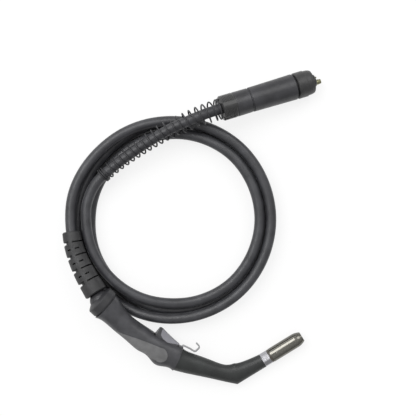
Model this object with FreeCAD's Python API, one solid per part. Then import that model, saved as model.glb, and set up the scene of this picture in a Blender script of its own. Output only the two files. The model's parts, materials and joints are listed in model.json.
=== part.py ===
import FreeCAD, Part
import math
import os
from FreeCAD import Placement, Rotation, Vector

# MIG welding torch lying on its side, with its coiled lead and central plug. Millimetres.
# The torch is drawn in its own frame: X along the handle from the ball joint's centre, Y towards
# the trigger, Z across the handle. The plug is drawn along X from the lead's entry.
# Both are then placed on the bench, whose top is Z = 0.

# Where the torch lies
BALL_CENTRE = Vector(-145.3, 56.3, 42.0)
HANDLE_HEADING = -43.0
REST_MARGIN = 0.5
CLEARANCE = 0.2

# Ball joint behind the handle
BALL_RADIUS = 16.4
COLLAR_RADIUS = 23.2
COLLAR_REAR = -3.0
COLLAR_LENGTH = 13.9
LIP_SETBACK = 3.6
JOURNAL_RADIUS = 16.0
JOURNAL_LENGTH = 11.0
JOURNAL_BORE = 12.2
RETAINING_FLANGE = 1.8
RETAINING_FLANGE_WIDTH = 2.4
STEM_RADIUS = 7.9
STEM_LENGTH = 30.0
STEM_BORE = 5.4

# Handle: stations give distance along the handle, lower and upper edge, half width
HANDLE_STATIONS = [
    (11.2, -24.0, 20.8, 22.0),
    (26.0, -20.3, 17.8, 19.6),
    (50.0, -19.7, 13.2, 17.6),
    (72.0, -19.0, 15.3, 17.5),
    (94.0, -17.9, 18.6, 18.0),
    (113.0, -16.0, 22.8, 18.0),
    (125.5, -17.2, 26.6, 17.8),
    (134.0, -13.6, 29.6, 17.4),
]
NOSE_CENTRE = (146.6, 11.9)
NOSE_HALF_HEIGHT = 19.2
NOSE_HALF_WIDTH = 16.6
NOSE_ANGLE = 18.0
HANDLE_ROUNDNESS = 2.3
WALL = 2.8
INLAY_DEPTH = 1.5
CAVITY_START = 27.0
CAVITY_END = 126.0

# Grey inlay on each side of the handle: upper edge points, then a round end
INLAY_EDGE = [(34.0, -24.0), (40.3, -19.5), (53.3, -13.6), (72.8, -4.8), (92.8, 3.5), (112.0, 10.2)]
INLAY_END_CENTRE = (120.6, 1.2)
INLAY_END_RADIUS = 10.6
INLAY_HEEL = (110.5, -14.4)

# Handle screws, put in from the hidden side
SCREW_PLACES = [(29.0, 11.2), (58.0, 8.6), (84.5, 11.4)]
SCREW_RADIUS = 1.5
SCREW_LENGTH = 19.0
SCREW_HEAD_RADIUS = 2.8
SCREW_HEAD_HEIGHT = 2.6
SCREW_HEAD_SEAT = 10.0
BOSS_RADIUS = 3.6
HEX_KEY = 2.5

# Trigger and switch
TRIGGER_HALF_WIDTH = 8.5
TRIGGER_CREST_HALF_WIDTH = 3.0
TRIGGER_UNDERSIDE = 13.0
TRIGGER_REAR = 94.6
TRIGGER_FRONT = 132.6
TRIGGER_OUTLINE = [
    (TRIGGER_REAR, TRIGGER_UNDERSIDE), (95.2, 19.7), (94.6, 24.0), (93.6, 28.2), (94.7, 30.7), (98.0, 31.6),
    (108.9, 30.7), (121.5, 30.3), (TRIGGER_FRONT, 30.6), (TRIGGER_FRONT, 17.5), (130.5, TRIGGER_UNDERSIDE),
]
TRIGGER_BEVEL_EDGE = 21.0
TRIGGER_CREST = 31.0
TRIGGER_PAD_OUTLINE = [
    (98.4, 40.0), (98.2, 29.0), (101.0, 23.4), (107.0, 21.2), (116.0, 21.4), (131.8, 29.6), (131.8, 40.0),
]
TRIGGER_PIVOT = (129.0, 20.0)
TRIGGER_PIN_RADIUS = 2.0
TRIGGER_PIN_HALF_LENGTH = 12.0
SPRING_LEG_LENGTH = 15.0
NOSE_LEG_LENGTH = 3.0
RETURN_SPRING_RADIUS = 2.9
RETURN_SPRING_WIRE = 0.3
RETURN_SPRING_PITCH = 1.1
RETURN_SPRING_TURNS = 2
RETURN_SPRING_SIDE = 4.2
RETURN_SPRING_ROOM = 0.5
SLOT_GAP = 0.45
SLOT_START = 92.6
SLOT_FLOOR = 7.8
RUNNING_GAP = 0.05
SWITCH_CENTRE = 114.0
SWITCH_LENGTH = 20.0
SWITCH_WIDTH = 6.4
SWITCH_BASE = 5.8
SWITCH_TOP = 9.6
PLUNGER_PLACE = 110.0
PLUNGER_RADIUS = 1.5
PLUNGER_STROKE = 2.5
LEAD_RADIUS = 0.9
LEAD_SPREAD = 8.4
LEAD_HEIGHT = 3.0

# Hanging hook, a sprung strip
HOOK_ROUTE = [(138.4, 24.6), (138.4, 33.0), (149.0, 36.2), (158.6, 37.8), (159.2, 48.6), (150.6, 49.0)]
HOOK_BENDS = [2.0, 12.0, 3.4, 3.6]
HOOK_THICKNESS = 2.0
HOOK_WIDTH = 5.0

# Swan neck: the cover's heel is the sharp outer corner where its two runs meet
HEEL = (241.6, 44.5)
NECK_REAR_ANGLE = 29.7
NECK_FRONT_ANGLE = 74.8
HEEL_HEIGHT = 33.0
HEEL_HALF_WIDTH = 11.0
NECK_ROOT_STEP = 0.8
# distance back from the heel along the outer edge, thickness, half width
NECK_REAR_SECTIONS = [(87.7, 33.4, 14.8), (61.5, 29.6, 13.4), (40.6, 26.4, 12.0)]
# distance forward from the heel along the outer edge, thickness, half width
NECK_FRONT_SECTIONS = [(22.0, 26.4, 10.6), (37.0, 23.4, 10.2), (52.0, 21.4, 10.0)]
NECK_SPIGOT_RADIUS = 9.5
NECK_SPIGOT_LENGTH = 9.0
NECK_TUBE_RADIUS = 6.0
NECK_TUBE_BORE = 3.2
NECK_TUBE_START = 82.0
NECK_TUBE_HEIGHT = -1.0
NECK_TUBE_BENDS = [50.0, 40.0]
NECK_AXIS_POINT = (180.0, 27.2)
LINER_RADIUS = 2.6
LINER_BORE = 1.0

# Core of the lead inside the handle
CORE_RADIUS = 5.0
CORE_START = 17.2
BLOCK_RADIUS = 8.0
BLOCK_START = 62.0

# Front end, along the nozzle's axis from the end of the neck cover
TUBE_OVERHANG = 14.0
RING_NUT_RADIUS = 11.0
RING_NUT_LENGTH = 12.0
RING_NUT_FLATS = 8
RING_NUT_ACROSS_FLATS = 20.9
INSULATOR_FLANGE_RADIUS = 10.5
INSULATOR_FLANGE_LENGTH = 2.8
INSULATOR_RADIUS = 9.2
INSULATOR_END = 31.0
DIFFUSER_RADIUS = 6.0
DIFFUSER_END = 45.0
DIFFUSER_HOLES = 4
DIFFUSER_HOLE_RADIUS = 1.2
NOZZLE_RADIUS = 11.0
NOZZLE_END = 70.2
NOZZLE_TAPER = 11.5
NOZZLE_MOUTH_RADIUS = 7.6
NOZZLE_WALL = 1.5
# where along the nozzle's axis, and how far round from its top, the two crimped dents are
NOZZLE_DENTS = [(21.6, 45.0), (24.7, 16.0)]
DENT_RADIUS = 1.8
DENT_DEPTH = 0.45
TIP_RADIUS = 4.0
TIP_NOSE_RADIUS = 2.9
TIP_RECESS = 4.0
TIP_BORE = 0.6
TIP_STUB_RADIUS = 3.0
TIP_STUB_LENGTH = 7.0

# Bend relief: a slotted rubber boot from the ball joint to the lead
RELIEF_START = 13.0
RELIEF_END = Vector(-46.0, 102.4, -11.2)
RELIEF_START_HEADING = 122.0
RELIEF_END_HEADING = 97.5
RELIEF_START_SLOPE = -5.0
RELIEF_END_SLOPE = -6.0
RELIEF_RADIUS_AT_BALL = 17.5
RELIEF_RADIUS_AT_LEAD = 13.5
RELIEF_FLOOR_AT_BALL = 12.2
RELIEF_FLOOR_AT_LEAD = 9.9
RELIEF_END_CHAMFER = 1.5
# wide notches open to the left, each with a narrow slot open to the right; short slots between them
NOTCH_PLACES = [21.6, 42.5, 63.4, 84.3]
RELIEF_NOTCH = 4.2
RELIEF_NOTCH_FLARE = 1.0
RELIEF_NOTCH_EDGE = 5.0
RELIEF_SLOT = 2.1
RELIEF_SLOT_EDGE = -0.3
SHORT_SLOTS = [(-8.6, -2.4), (4.0, 9.0)]
SLEEVE_WALL = 1.3

# Lead, wound in three loose turns. Stations give the angle, clockwise from the coil's left,
# the radius and how far the lead lies above the bench
CABLE_RADIUS = 8.0
COIL_CENTRE = Vector(102.0, 121.1, -BALL_CENTRE.z)
FLAT_DEPTH = 0.5
FLOOR_HEIGHT = CABLE_RADIUS - FLAT_DEPTH
COIL_STATIONS = [
    (22, 150.4, 18.2), (45, 148.2, 16.4), (90, 149.0, 17.0), (135, 153.4, 15.8), (180, 154.2, 14.8),
    (225, 153.2, 14.4), (262, 150.8, 13.4), (284, 150.3, 8.9), (302, 149.5, 1.0), (328, 145.4, 0.0),
    (360, 141.0, 0.0), (405, 140.4, 0.0), (450, 147.2, 0.0), (495, 146.4, 0.0), (540, 145.5, 0.0),
    (585, 143.0, 0.0), (630, 139.0, 0.0), (675, 128.2, 0.0), (720, 121.4, 0.0), (765, 121.8, 1.6),
    (810, 130.2, 8.6), (855, 136.0, 14.8), (900, 136.9, 15.0), (945, 134.2, 14.8), (990, 126.6, 15.7),
    (1035, 125.4, 16.6),
]
COIL_EXIT = (1080, 126.0, 16.6)

# Free stretch from the coil to the plug, from the coil's centre
TAIL_ROUTE = [Vector(-126.0, 25.5, 24.1), Vector(-112.8, 55.2, 27.2), Vector(-86.2, 79.2, 31.5),
              Vector(-58.8, 99.2, 36.4), Vector(-28.4, 118.7, 42.0), Vector(1.0, 135.6, 47.2),
              Vector(26.0, 145.8, 50.4), Vector(45.5, 154.5, 51.2)]
PLUG_ENTRY = Vector(77.4, 165.7, 47.0)
PLUG_HEADING = 17.8
PLUG_SLOPE = -11.5
PLUG_STRAIGHT = 12.0
ARC_SHARE = 0.45

# Guard spring over the tail
SPRING_WIRE = 1.2
SPRING_FAR_RADIUS = 10.3
SPRING_NEAR_RADIUS = 15.0
SPRING_REACH = 206.0
SPRING_OPEN_CURLS = 19
SPRING_CLOSED_FAR = 2
SPRING_CLOSED_NEAR = 1
SPRING_CLOSED_PITCH = 3.0
SPRING_END_GAP = 1.6

# Plug, along its axis from the lead's entry
BUSHING_LENGTH = 22.0
BUSHING_RADIUS = 19.0
BUSHING_RIBS = 9
BUSHING_RIB_DEPTH = 0.7
BUSHING_LAND_WIDTH = 11.0
COLLAR_END = 46.5
PLUG_COLLAR_RADIUS = 18.7
JOINT_GROOVE = 1.6
JOINT_GROOVE_DEPTH = 1.2
HOUSING_END = 119.0
HOUSING_REAR_RADIUS = 18.7
HOUSING_FRONT_RADIUS = 19.8
NUT_START = 121.6
NUT_GRIP_END = 137.0
NUT_RADIUS = 20.0
NUT_SKIRT_RADIUS = 19.0
NUT_LIP_RADIUS = 17.7
NUT_BORE = 16.4
NUT_END = 148.0
SPIGOT_RADIUS = 15.0
SPIGOT_END = 127.4
SNAP_RING_RADIUS = 16.0
SNAP_RING_DEPTH = 0.8
SNAP_RING_WIDTH = 1.4
HOLDER_RADIUS = 10.2
HOLDER_FOOT_RADIUS = 9.4
HOLDER_START = 96.0
HOLDER_END = 154.0
TERMINAL_RADIUS = 5.8
TERMINAL_START = 27.0
CABLE_ENTRY = 26.0
# the brass tube lies to one side of the plug's axis, the two contacts to the other
WIRE_TUBE_OFFSET = -3.4
WIRE_TUBE_RADIUS = 4.0
WIRE_TUBE_NOSE = 3.4
WIRE_TUBE_BORE = 1.3
WIRE_TUBE_END = 162.2
CONTACT_OFFSET = 3.6
CONTACT_SPREAD = 5.0
CONTACT_RADIUS = 1.3
CONTACT_LENGTH = 11.0
CONTACT_PROUD = 2.2
CONTACT_TRAVEL = 2.0
PLUG_SCREW_PLACE = 60.0
PLUG_SCREW_RADIUS = 2.0
PLUG_SCREW_DEPTH = 7.0

X_AXIS = Vector(1, 0, 0)
Y_AXIS = Vector(0, 1, 0)
Z_AXIS = Vector(0, 0, 1)


def heading_vector(heading, slope):
    """Unit vector at a heading in plan and a slope above the bench, in degrees."""
    level = math.cos(math.radians(slope))
    return Vector(level * math.cos(math.radians(heading)), level * math.sin(math.radians(heading)),
                  math.sin(math.radians(slope)))


def turned(outline):
    """Solid turned about X from (x, radius) points."""
    points = [Vector(x, radius, 0) for x, radius in outline]
    face = Part.Face(Part.makePolygon(points + points[:1]))
    return face.revolve(Vector(0, 0, 0), X_AXIS, 360)


def rod(start, end, radius):
    """Cylinder along X."""
    return Part.makeCylinder(radius, end - start, Vector(start, 0, 0), X_AXIS)


def cross_rod(place, radius, low, high):
    """Cylinder along Z through a point of the torch's plane."""
    return Part.makeCylinder(radius, high - low, Vector(place[0], place[1], low), Z_AXIS)


def plate(outline, low, high):
    """Flat outline in the torch's plane, raised from low to high across the handle."""
    points = [Vector(x, y, low) for x, y in outline]
    return Part.Face(Part.makePolygon(points + points[:1])).extrude(Vector(0, 0, high - low))


def circle(centre, normal, radius):
    return Part.Wire([Part.Circle(centre, normal, radius).toShape()])


def rounded_wire(points, radii):
    """Straight runs joined by tangent arcs of the given radii."""
    edges = []
    last = points[0]
    for before, corner, after, radius in zip(points, points[1:], points[2:], radii):
        back = (before - corner).normalize()
        ahead = (after - corner).normalize()
        half_turn = (math.pi - back.getAngle(ahead)) / 2
        reach = radius * math.tan(half_turn)
        middle = corner + (back + ahead).normalize() * (radius / math.cos(half_turn) - radius)
        start = corner + back * reach
        end = corner + ahead * reach
        edges.append(Part.LineSegment(last, start).toShape())
        edges.append(Part.Arc(start, middle, end).toShape())
        last = end
    edges.append(Part.LineSegment(last, points[-1]).toShape())
    return Part.Wire(edges)


def route_radii(points, share):
    """Arc radii as large as the runs allow: a share of the shorter run over the half turn's tangent."""
    radii = []
    for before, corner, after in zip(points, points[1:], points[2:]):
        half_turn = (math.pi - (before - corner).getAngle(after - corner)) / 2
        shorter = min(before.distanceToPoint(corner), after.distanceToPoint(corner))
        radii.append(share * shorter / math.tan(half_turn))
    return radii


def two_arcs(start, start_way, end, end_way):
    """Two arcs that leave start and reach end along the given unit vectors."""
    span = end - start
    ways = start_way + end_way
    bend = 2 * (1 - start_way.dot(end_way))
    across = span.dot(ways)
    if bend < 1e-9:
        reach = span.dot(span) / (4 * span.dot(end_way))
    else:
        reach = (math.sqrt(across ** 2 + bend * span.dot(span)) - across) / bend
    first = start + start_way * reach
    second = end - end_way * reach
    joint = (first + second) * 0.5
    return [tangent_arc(start, first, joint), tangent_arc(joint, second, end)]


def tangent_arc(start, corner, end):
    """Arc from start to end that touches both lines to the corner."""
    chord_middle = (start + end) * 0.5
    rise = chord_middle.distanceToPoint(corner)
    half_chord = start.distanceToPoint(end) / 2
    if rise < 1e-6 * half_chord:
        return Part.LineSegment(start, end).toShape()
    side = start.distanceToPoint(corner)
    sagitta = half_chord * (side - half_chord) / rise
    middle = chord_middle + (corner - chord_middle).normalize() * sagitta
    return Part.Arc(start, middle, end).toShape()


def tube(wire, radius, bore=0.0):
    """Pipe of a round section along a wire."""
    solids = []
    for section_radius in (radius, bore):
        if section_radius > 0:
            first = wire.OrderedEdges[0]
            start = wire.OrderedVertexes[0].Point
            way = first.tangentAt(first.getParameterByLength(0) if first.Orientation == "Forward"
                                  else first.LastParameter)
            sweep = Part.BRepOffsetAPI.MakePipeShell(wire)
            sweep.add(circle(start, way, section_radius))
            sweep.build()
            sweep.makeSolid()
            solids.append(sweep.shape())
    return solids[0].cut(solids[1]) if len(solids) == 2 else solids[0]


def oval(centre, angle, half_height, half_width, roundness):
    """Closed superellipse across a direction in the torch's plane."""
    count = 16
    points = []
    for index in range(count):
        turn = 2 * math.pi * index / count
        cosine = math.cos(turn)
        sine = math.sin(turn)
        height = math.copysign(abs(cosine) ** (2 / roundness), cosine) * half_height
        width = math.copysign(abs(sine) ** (2 / roundness), sine) * half_width
        points.append(Vector(centre[0] - height * math.sin(math.radians(angle)),
                             centre[1] + height * math.cos(math.radians(angle)), width))
    curve = Part.BSplineCurve()
    curve.interpolate(Points=points, PeriodicFlag=True)
    return Part.Wire([curve.toShape()])


def handle_section(x):
    """Lower edge, upper edge and half width of the handle at x, between its stations."""
    for before, after in zip(HANDLE_STATIONS, HANDLE_STATIONS[1:]):
        if before[0] <= x <= after[0]:
            share = (x - before[0]) / (after[0] - before[0])
            return [low + share * (high - low) for low, high in zip(before[1:], after[1:])]
    return HANDLE_STATIONS[-1][1:]


def handle_loft(inset, start, end, with_nose):
    """Handle's outside, or a smaller copy of it, between two places."""
    places = [start] + [station[0] for station in HANDLE_STATIONS if start < station[0] < end] + [end]
    wires = []
    for x in places:
        low, high, half_width = handle_section(x)
        wires.append(oval((x, (low + high) / 2), 0, (high - low) / 2 - inset, half_width - inset,
                          HANDLE_ROUNDNESS))
    if with_nose:
        wires.append(oval(NOSE_CENTRE, NOSE_ANGLE, NOSE_HALF_HEIGHT - inset, NOSE_HALF_WIDTH - inset,
                          HANDLE_ROUNDNESS))
    return Part.makeLoft(wires, True, False)


def neck_point(distance, angle, offset):
    """Point at a distance from the heel along a direction, moved inwards by offset."""
    turn = math.radians(angle)
    return (HEEL[0] + distance * math.cos(turn) - offset * math.sin(turn),
            HEEL[1] + distance * math.sin(turn) + offset * math.cos(turn))


def neck_solid():
    """Outside of the neck cover: one smooth run on each side of the heel, and a spigot into the handle."""
    mitre_angle = (NECK_REAR_ANGLE + NECK_FRONT_ANGLE) / 2
    middle = neck_point(0, mitre_angle, HEEL_HEIGHT / 2)
    mitre = oval(middle, mitre_angle, HEEL_HEIGHT / 2, HEEL_HALF_WIDTH, 2)
    root = oval(NOSE_CENTRE, NOSE_ANGLE, NOSE_HALF_HEIGHT - NECK_ROOT_STEP,
                NOSE_HALF_WIDTH - NECK_ROOT_STEP, 2)
    rear = [oval(neck_point(-distance, NECK_REAR_ANGLE, thickness / 2), NECK_REAR_ANGLE, thickness / 2,
                 half_width, 2) for distance, thickness, half_width in NECK_REAR_SECTIONS]
    front = [oval(neck_point(distance, NECK_FRONT_ANGLE, thickness / 2), NECK_FRONT_ANGLE, thickness / 2,
                  half_width, 2) for distance, thickness, half_width in NECK_FRONT_SECTIONS]
    rear_run = Part.makeLoft([root] + rear + [mitre], True, False)
    front_run = Part.makeLoft([mitre] + front, True, False)
    return rear_run.fuse([front_run, neck_spigot(0)])


def neck_spigot(gap):
    """Round foot of the neck cover inside the handle's nose."""
    way = heading_vector(NECK_REAR_ANGLE, 0)
    across = heading_vector(NOSE_ANGLE, 0)
    nose = Vector(NOSE_CENTRE[0], NOSE_CENTRE[1], 0)
    through = Vector(NECK_AXIS_POINT[0], NECK_AXIS_POINT[1], 0)
    meet = through - way * ((through - nose).dot(across) / way.dot(across))
    return Part.makeCylinder(NECK_SPIGOT_RADIUS + gap, NECK_SPIGOT_LENGTH + gap + 8,
                             meet - way * (NECK_SPIGOT_LENGTH + gap), way)


def nozzle_frame():
    """Placement that puts X along the nozzle's axis, from the end of the neck cover."""
    distance, thickness, half_width = NECK_FRONT_SECTIONS[-1]
    end = neck_point(distance, NECK_FRONT_ANGLE, thickness / 2)
    return Placement(Vector(end[0], end[1], 0), Rotation(Z_AXIS, NECK_FRONT_ANGLE))


def neck_wire(rear, overhang):
    """Route through the neck: from x = rear along the handle, then out past the end of the neck cover."""
    rear_way = heading_vector(NECK_REAR_ANGLE, 0)
    front_way = heading_vector(NECK_FRONT_ANGLE, 0)
    cover_end = nozzle_frame().Base
    through = Vector(NECK_AXIS_POINT[0], NECK_AXIS_POINT[1], 0)
    first = through - rear_way * ((through.y - NECK_TUBE_HEIGHT) / rear_way.y)
    reach = (cover_end - through).cross(front_way).z / rear_way.cross(front_way).z
    second = through + rear_way * reach
    ends = [Vector(rear, NECK_TUBE_HEIGHT, 0), cover_end + front_way * overhang]
    return rounded_wire([ends[0], first, second, ends[1]], NECK_TUBE_BENDS)


def ball_joint():
    """Collar that cups the ball and carries the handle on its journal."""
    lip = COLLAR_REAR - LIP_SETBACK
    socket = BALL_RADIUS + 0.15
    lip_radius = math.sqrt(socket ** 2 - lip ** 2)
    front = COLLAR_REAR + COLLAR_LENGTH
    end = front + JOURNAL_LENGTH
    collar = turned([(lip, 0), (lip, lip_radius + 0.4), (COLLAR_REAR, COLLAR_RADIUS - 1.2),
                     (COLLAR_REAR + 1.2, COLLAR_RADIUS), (front - 3.0, COLLAR_RADIUS + 0.3),
                     (front, COLLAR_RADIUS - 1.3), (front, JOURNAL_RADIUS),
                     (end - RETAINING_FLANGE_WIDTH, JOURNAL_RADIUS),
                     (end - RETAINING_FLANGE_WIDTH, JOURNAL_RADIUS + RETAINING_FLANGE),
                     (end, JOURNAL_RADIUS + RETAINING_FLANGE), (end, 0)])
    return collar.cut(Part.makeSphere(socket)).cut(rod(0, end + 1, JOURNAL_BORE))


def handle_bore():
    """Space in the handle for the collar's journal and its flange."""
    front = COLLAR_REAR + COLLAR_LENGTH
    end = front + JOURNAL_LENGTH
    flange = end - RETAINING_FLANGE_WIDTH
    return turned([(front - 1, 0), (front - 1, JOURNAL_RADIUS + CLEARANCE),
                   (flange - CLEARANCE, JOURNAL_RADIUS + CLEARANCE),
                   (flange - CLEARANCE, JOURNAL_RADIUS + RETAINING_FLANGE + CLEARANCE),
                   (end + CLEARANCE, JOURNAL_RADIUS + RETAINING_FLANGE + CLEARANCE),
                   (end + CLEARANCE, JOURNAL_BORE + 1), (CAVITY_START + 1, JOURNAL_BORE + 1),
                   (CAVITY_START + 1, 0)])


def inlay_prism(gap):
    """Teardrop that marks out the grey inlay, through the whole handle, larger by gap."""
    centre = Vector(INLAY_END_CENTRE[0], INLAY_END_CENTRE[1], 0)
    radius = INLAY_END_RADIUS + gap
    edge = Part.BSplineCurve()
    edge.interpolate([Vector(x - gap / 2, y + gap, 0) for x, y in INLAY_EDGE])
    start = Vector(INLAY_EDGE[-1][0] - gap / 2, INLAY_EDGE[-1][1] + gap, 0)
    tip = centre + Vector(radius, 0, 0)
    low = centre + Vector(0, -radius, 0)
    shoulder = centre + Vector(radius * math.cos(math.radians(60)), radius * math.sin(math.radians(60)), 0)
    heel = Vector(INLAY_HEEL[0], INLAY_HEEL[1] - gap, 0)
    outside = [Vector(heel.x, -40, 0), Vector(INLAY_EDGE[0][0] - gap / 2, -40, 0)]
    first = Vector(INLAY_EDGE[0][0] - gap / 2, INLAY_EDGE[0][1] + gap, 0)
    edges = [edge.toShape(), Part.Arc(start, shoulder, tip).toShape(),
             Part.Arc(tip, centre + (Vector(1, -1, 0)).normalize() * radius, low).toShape(),
             Part.LineSegment(low, heel).toShape(), Part.LineSegment(heel, outside[0]).toShape(),
             Part.LineSegment(outside[0], outside[1]).toShape(),
             Part.LineSegment(outside[1], first).toShape()]
    face = Part.Face(Part.Wire(edges))
    face.translate(Vector(0, 0, -40))
    return face.extrude(Vector(0, 0, 80))


def trigger_solid():
    """Lever from its side outline, with bevels along the finger side."""
    blank = plate(TRIGGER_OUTLINE, -TRIGGER_HALF_WIDTH, TRIGGER_HALF_WIDTH)
    rear = TRIGGER_REAR - 2
    front = TRIGGER_FRONT + 2
    bevels = []
    slant = (TRIGGER_HALF_WIDTH - TRIGGER_CREST_HALF_WIDTH) / (TRIGGER_CREST - TRIGGER_BEVEL_EDGE)
    for side in (-1, 1):
        profile = [Vector(rear, TRIGGER_BEVEL_EDGE, side * TRIGGER_HALF_WIDTH),
                   Vector(rear, TRIGGER_BEVEL_EDGE + 15, side * (TRIGGER_HALF_WIDTH - 15 * slant)),
                   Vector(rear, TRIGGER_BEVEL_EDGE + 15, side * (TRIGGER_HALF_WIDTH + 5)),
                   Vector(rear, TRIGGER_BEVEL_EDGE, side * (TRIGGER_HALF_WIDTH + 5))]
        face = Part.Face(Part.makePolygon(profile + profile[:1]))
        bevels.append(face.extrude(Vector(front - rear, 0, 0)))
    return blank.cut(bevels)


def return_spring():
    """Sprung wire round the trigger's pin: one leg along the lever, one towards the handle's nose."""
    pivot = Vector(TRIGGER_PIVOT[0], TRIGGER_PIVOT[1], RETURN_SPRING_SIDE)
    rise = RETURN_SPRING_PITCH / 4
    level = RETURN_SPRING_RADIUS
    quarters = 4 * RETURN_SPRING_TURNS + 2

    def place(index):
        turn = math.pi / 2 * index - math.pi / 2
        point = pivot + Vector(level * math.cos(turn), level * math.sin(turn), rise * index)
        way = Vector(-math.sin(turn) * level, math.cos(turn) * level, rise / (math.pi / 2)).normalize()
        return point, way

    places = [place(index) for index in range(quarters + 1)]
    places[0] = (places[0][0], X_AXIS)
    places[-1] = (places[-1][0], X_AXIS * -1)
    edges = [Part.LineSegment(places[0][0] - places[0][1] * SPRING_LEG_LENGTH, places[0][0]).toShape()]
    for (start, start_way), (end, end_way) in zip(places, places[1:]):
        edges += two_arcs(start, start_way, end, end_way)
    edges.append(Part.LineSegment(places[-1][0], places[-1][0] + places[-1][1] * NOSE_LEG_LENGTH).toShape())
    return tube(Part.Wire(edges), RETURN_SPRING_WIRE)


def spring_pocket():
    """Room in the lever for the return spring and its two legs."""
    low = RETURN_SPRING_SIDE - RETURN_SPRING_ROOM - RETURN_SPRING_WIRE
    width = RETURN_SPRING_PITCH * (RETURN_SPRING_TURNS + 0.5) + 2 * (RETURN_SPRING_ROOM + RETURN_SPRING_WIRE)
    x, y = TRIGGER_PIVOT
    reach = RETURN_SPRING_RADIUS + RETURN_SPRING_WIRE + RETURN_SPRING_ROOM
    well = Part.makeCylinder(reach, width, Vector(x, y, low), Z_AXIS)
    leg = Part.makeBox(SPRING_LEG_LENGTH + 2, reach + 6, width,
                       Vector(x - SPRING_LEG_LENGTH - 1.5, y - reach - 6, low))
    roof = y - RETURN_SPRING_RADIUS + RETURN_SPRING_WIRE + 0.2
    leg = leg.cut(Part.makeBox(60, 20, 20, Vector(x - 40, roof, low - 5)))
    nose = Part.makeBox(8, 2 * RETURN_SPRING_WIRE + 1.2, width,
                        Vector(x - 4, y + RETURN_SPRING_RADIUS - RETURN_SPRING_WIRE - 0.6, low))
    nose = nose.common(Part.makeBox(20, 40, 40, Vector(x - 4, 0, low - 5)))
    return well.fuse([leg, nose])


def trigger_parts():
    blank = trigger_solid()
    pad_space = plate(TRIGGER_PAD_OUTLINE, -20, 20)
    pad = blank.common(pad_space)
    lever = blank.cut(pad_space).cut(cross_rod(TRIGGER_PIVOT, TRIGGER_PIN_RADIUS + RUNNING_GAP, -20, 20))
    pin = cross_rod(TRIGGER_PIVOT, TRIGGER_PIN_RADIUS, -TRIGGER_PIN_HALF_LENGTH, TRIGGER_PIN_HALF_LENGTH)
    return {"trigger_lever": lever.cut(spring_pocket()), "trigger_pad": pad, "trigger_pin": pin,
            "trigger_spring": return_spring()}


def switch_parts():
    half = SWITCH_WIDTH / 2
    plunger_top = TRIGGER_UNDERSIDE - 0.3
    body = Part.makeBox(SWITCH_LENGTH, SWITCH_TOP - SWITCH_BASE, SWITCH_WIDTH,
                        Vector(SWITCH_CENTRE - SWITCH_LENGTH / 2, SWITCH_BASE, -half))
    well_floor = Vector(PLUNGER_PLACE, SWITCH_BASE + 0.5, 0)
    well = Part.makeCylinder(PLUNGER_RADIUS + RUNNING_GAP, 20, well_floor, Y_AXIS)
    foot = well_floor + Y_AXIS * (PLUNGER_STROKE + 0.3)
    plunger = Part.makeCylinder(PLUNGER_RADIUS, plunger_top - foot.y, foot, Y_AXIS)
    leads = []
    for side in (-1, 1):
        rear = SWITCH_CENTRE - SWITCH_LENGTH / 2
        points = [Vector(rear - 0.1, SWITCH_BASE + 2, side * 1.8),
                  Vector(rear - 6, SWITCH_BASE + 2, side * 1.8),
                  Vector(rear - 16, LEAD_HEIGHT, side * LEAD_SPREAD),
                  Vector(CORE_START + 12, LEAD_HEIGHT, side * LEAD_SPREAD)]
        leads.append(tube(rounded_wire(points, [5, 8]), LEAD_RADIUS))
    return body.cut(well), plunger, Part.makeCompound(leads)


def hook():
    points = [Vector(x, y, 0) for x, y in HOOK_ROUTE]
    wire = rounded_wire(points, HOOK_BENDS)
    half = HOOK_THICKNESS / 2
    side = HOOK_WIDTH / 2
    foot = points[0]
    corners = [foot + Vector(-half, 0, -side), foot + Vector(half, 0, -side), foot + Vector(half, 0, side),
               foot + Vector(-half, 0, side)]
    sweep = Part.BRepOffsetAPI.MakePipeShell(wire)
    sweep.add(Part.makePolygon(corners + corners[:1]))
    sweep.build()
    sweep.makeSolid()
    return sweep.shape()


def hook_slot():
    half = HOOK_THICKNESS / 2 + 0.1
    side = HOOK_WIDTH / 2 + 0.1
    foot = HOOK_ROUTE[0]
    return Part.makeBox(2 * half, 40, 2 * side, Vector(foot[0] - half, foot[1] - 0.2, -side))


def screws():
    solids = []
    for place in SCREW_PLACES:
        shank = cross_rod(place, SCREW_RADIUS, -SCREW_HEAD_SEAT, SCREW_LENGTH - SCREW_HEAD_SEAT)
        head = cross_rod(place, SCREW_HEAD_RADIUS, -SCREW_HEAD_SEAT - SCREW_HEAD_HEIGHT, -SCREW_HEAD_SEAT)
        across = HEX_KEY / math.sqrt(3)
        corners = [Vector(place[0] + across * math.cos(math.radians(60 * index)),
                          place[1] + across * math.sin(math.radians(60 * index)),
                          -SCREW_HEAD_SEAT - SCREW_HEAD_HEIGHT) for index in range(6)]
        hexagon = Part.Face(Part.makePolygon(corners + corners[:1]))
        socket = hexagon.extrude(Vector(0, 0, SCREW_HEAD_HEIGHT / 2))
        solids.append(shank.fuse(head).cut(socket))
    return Part.makeCompound(solids)


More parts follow.
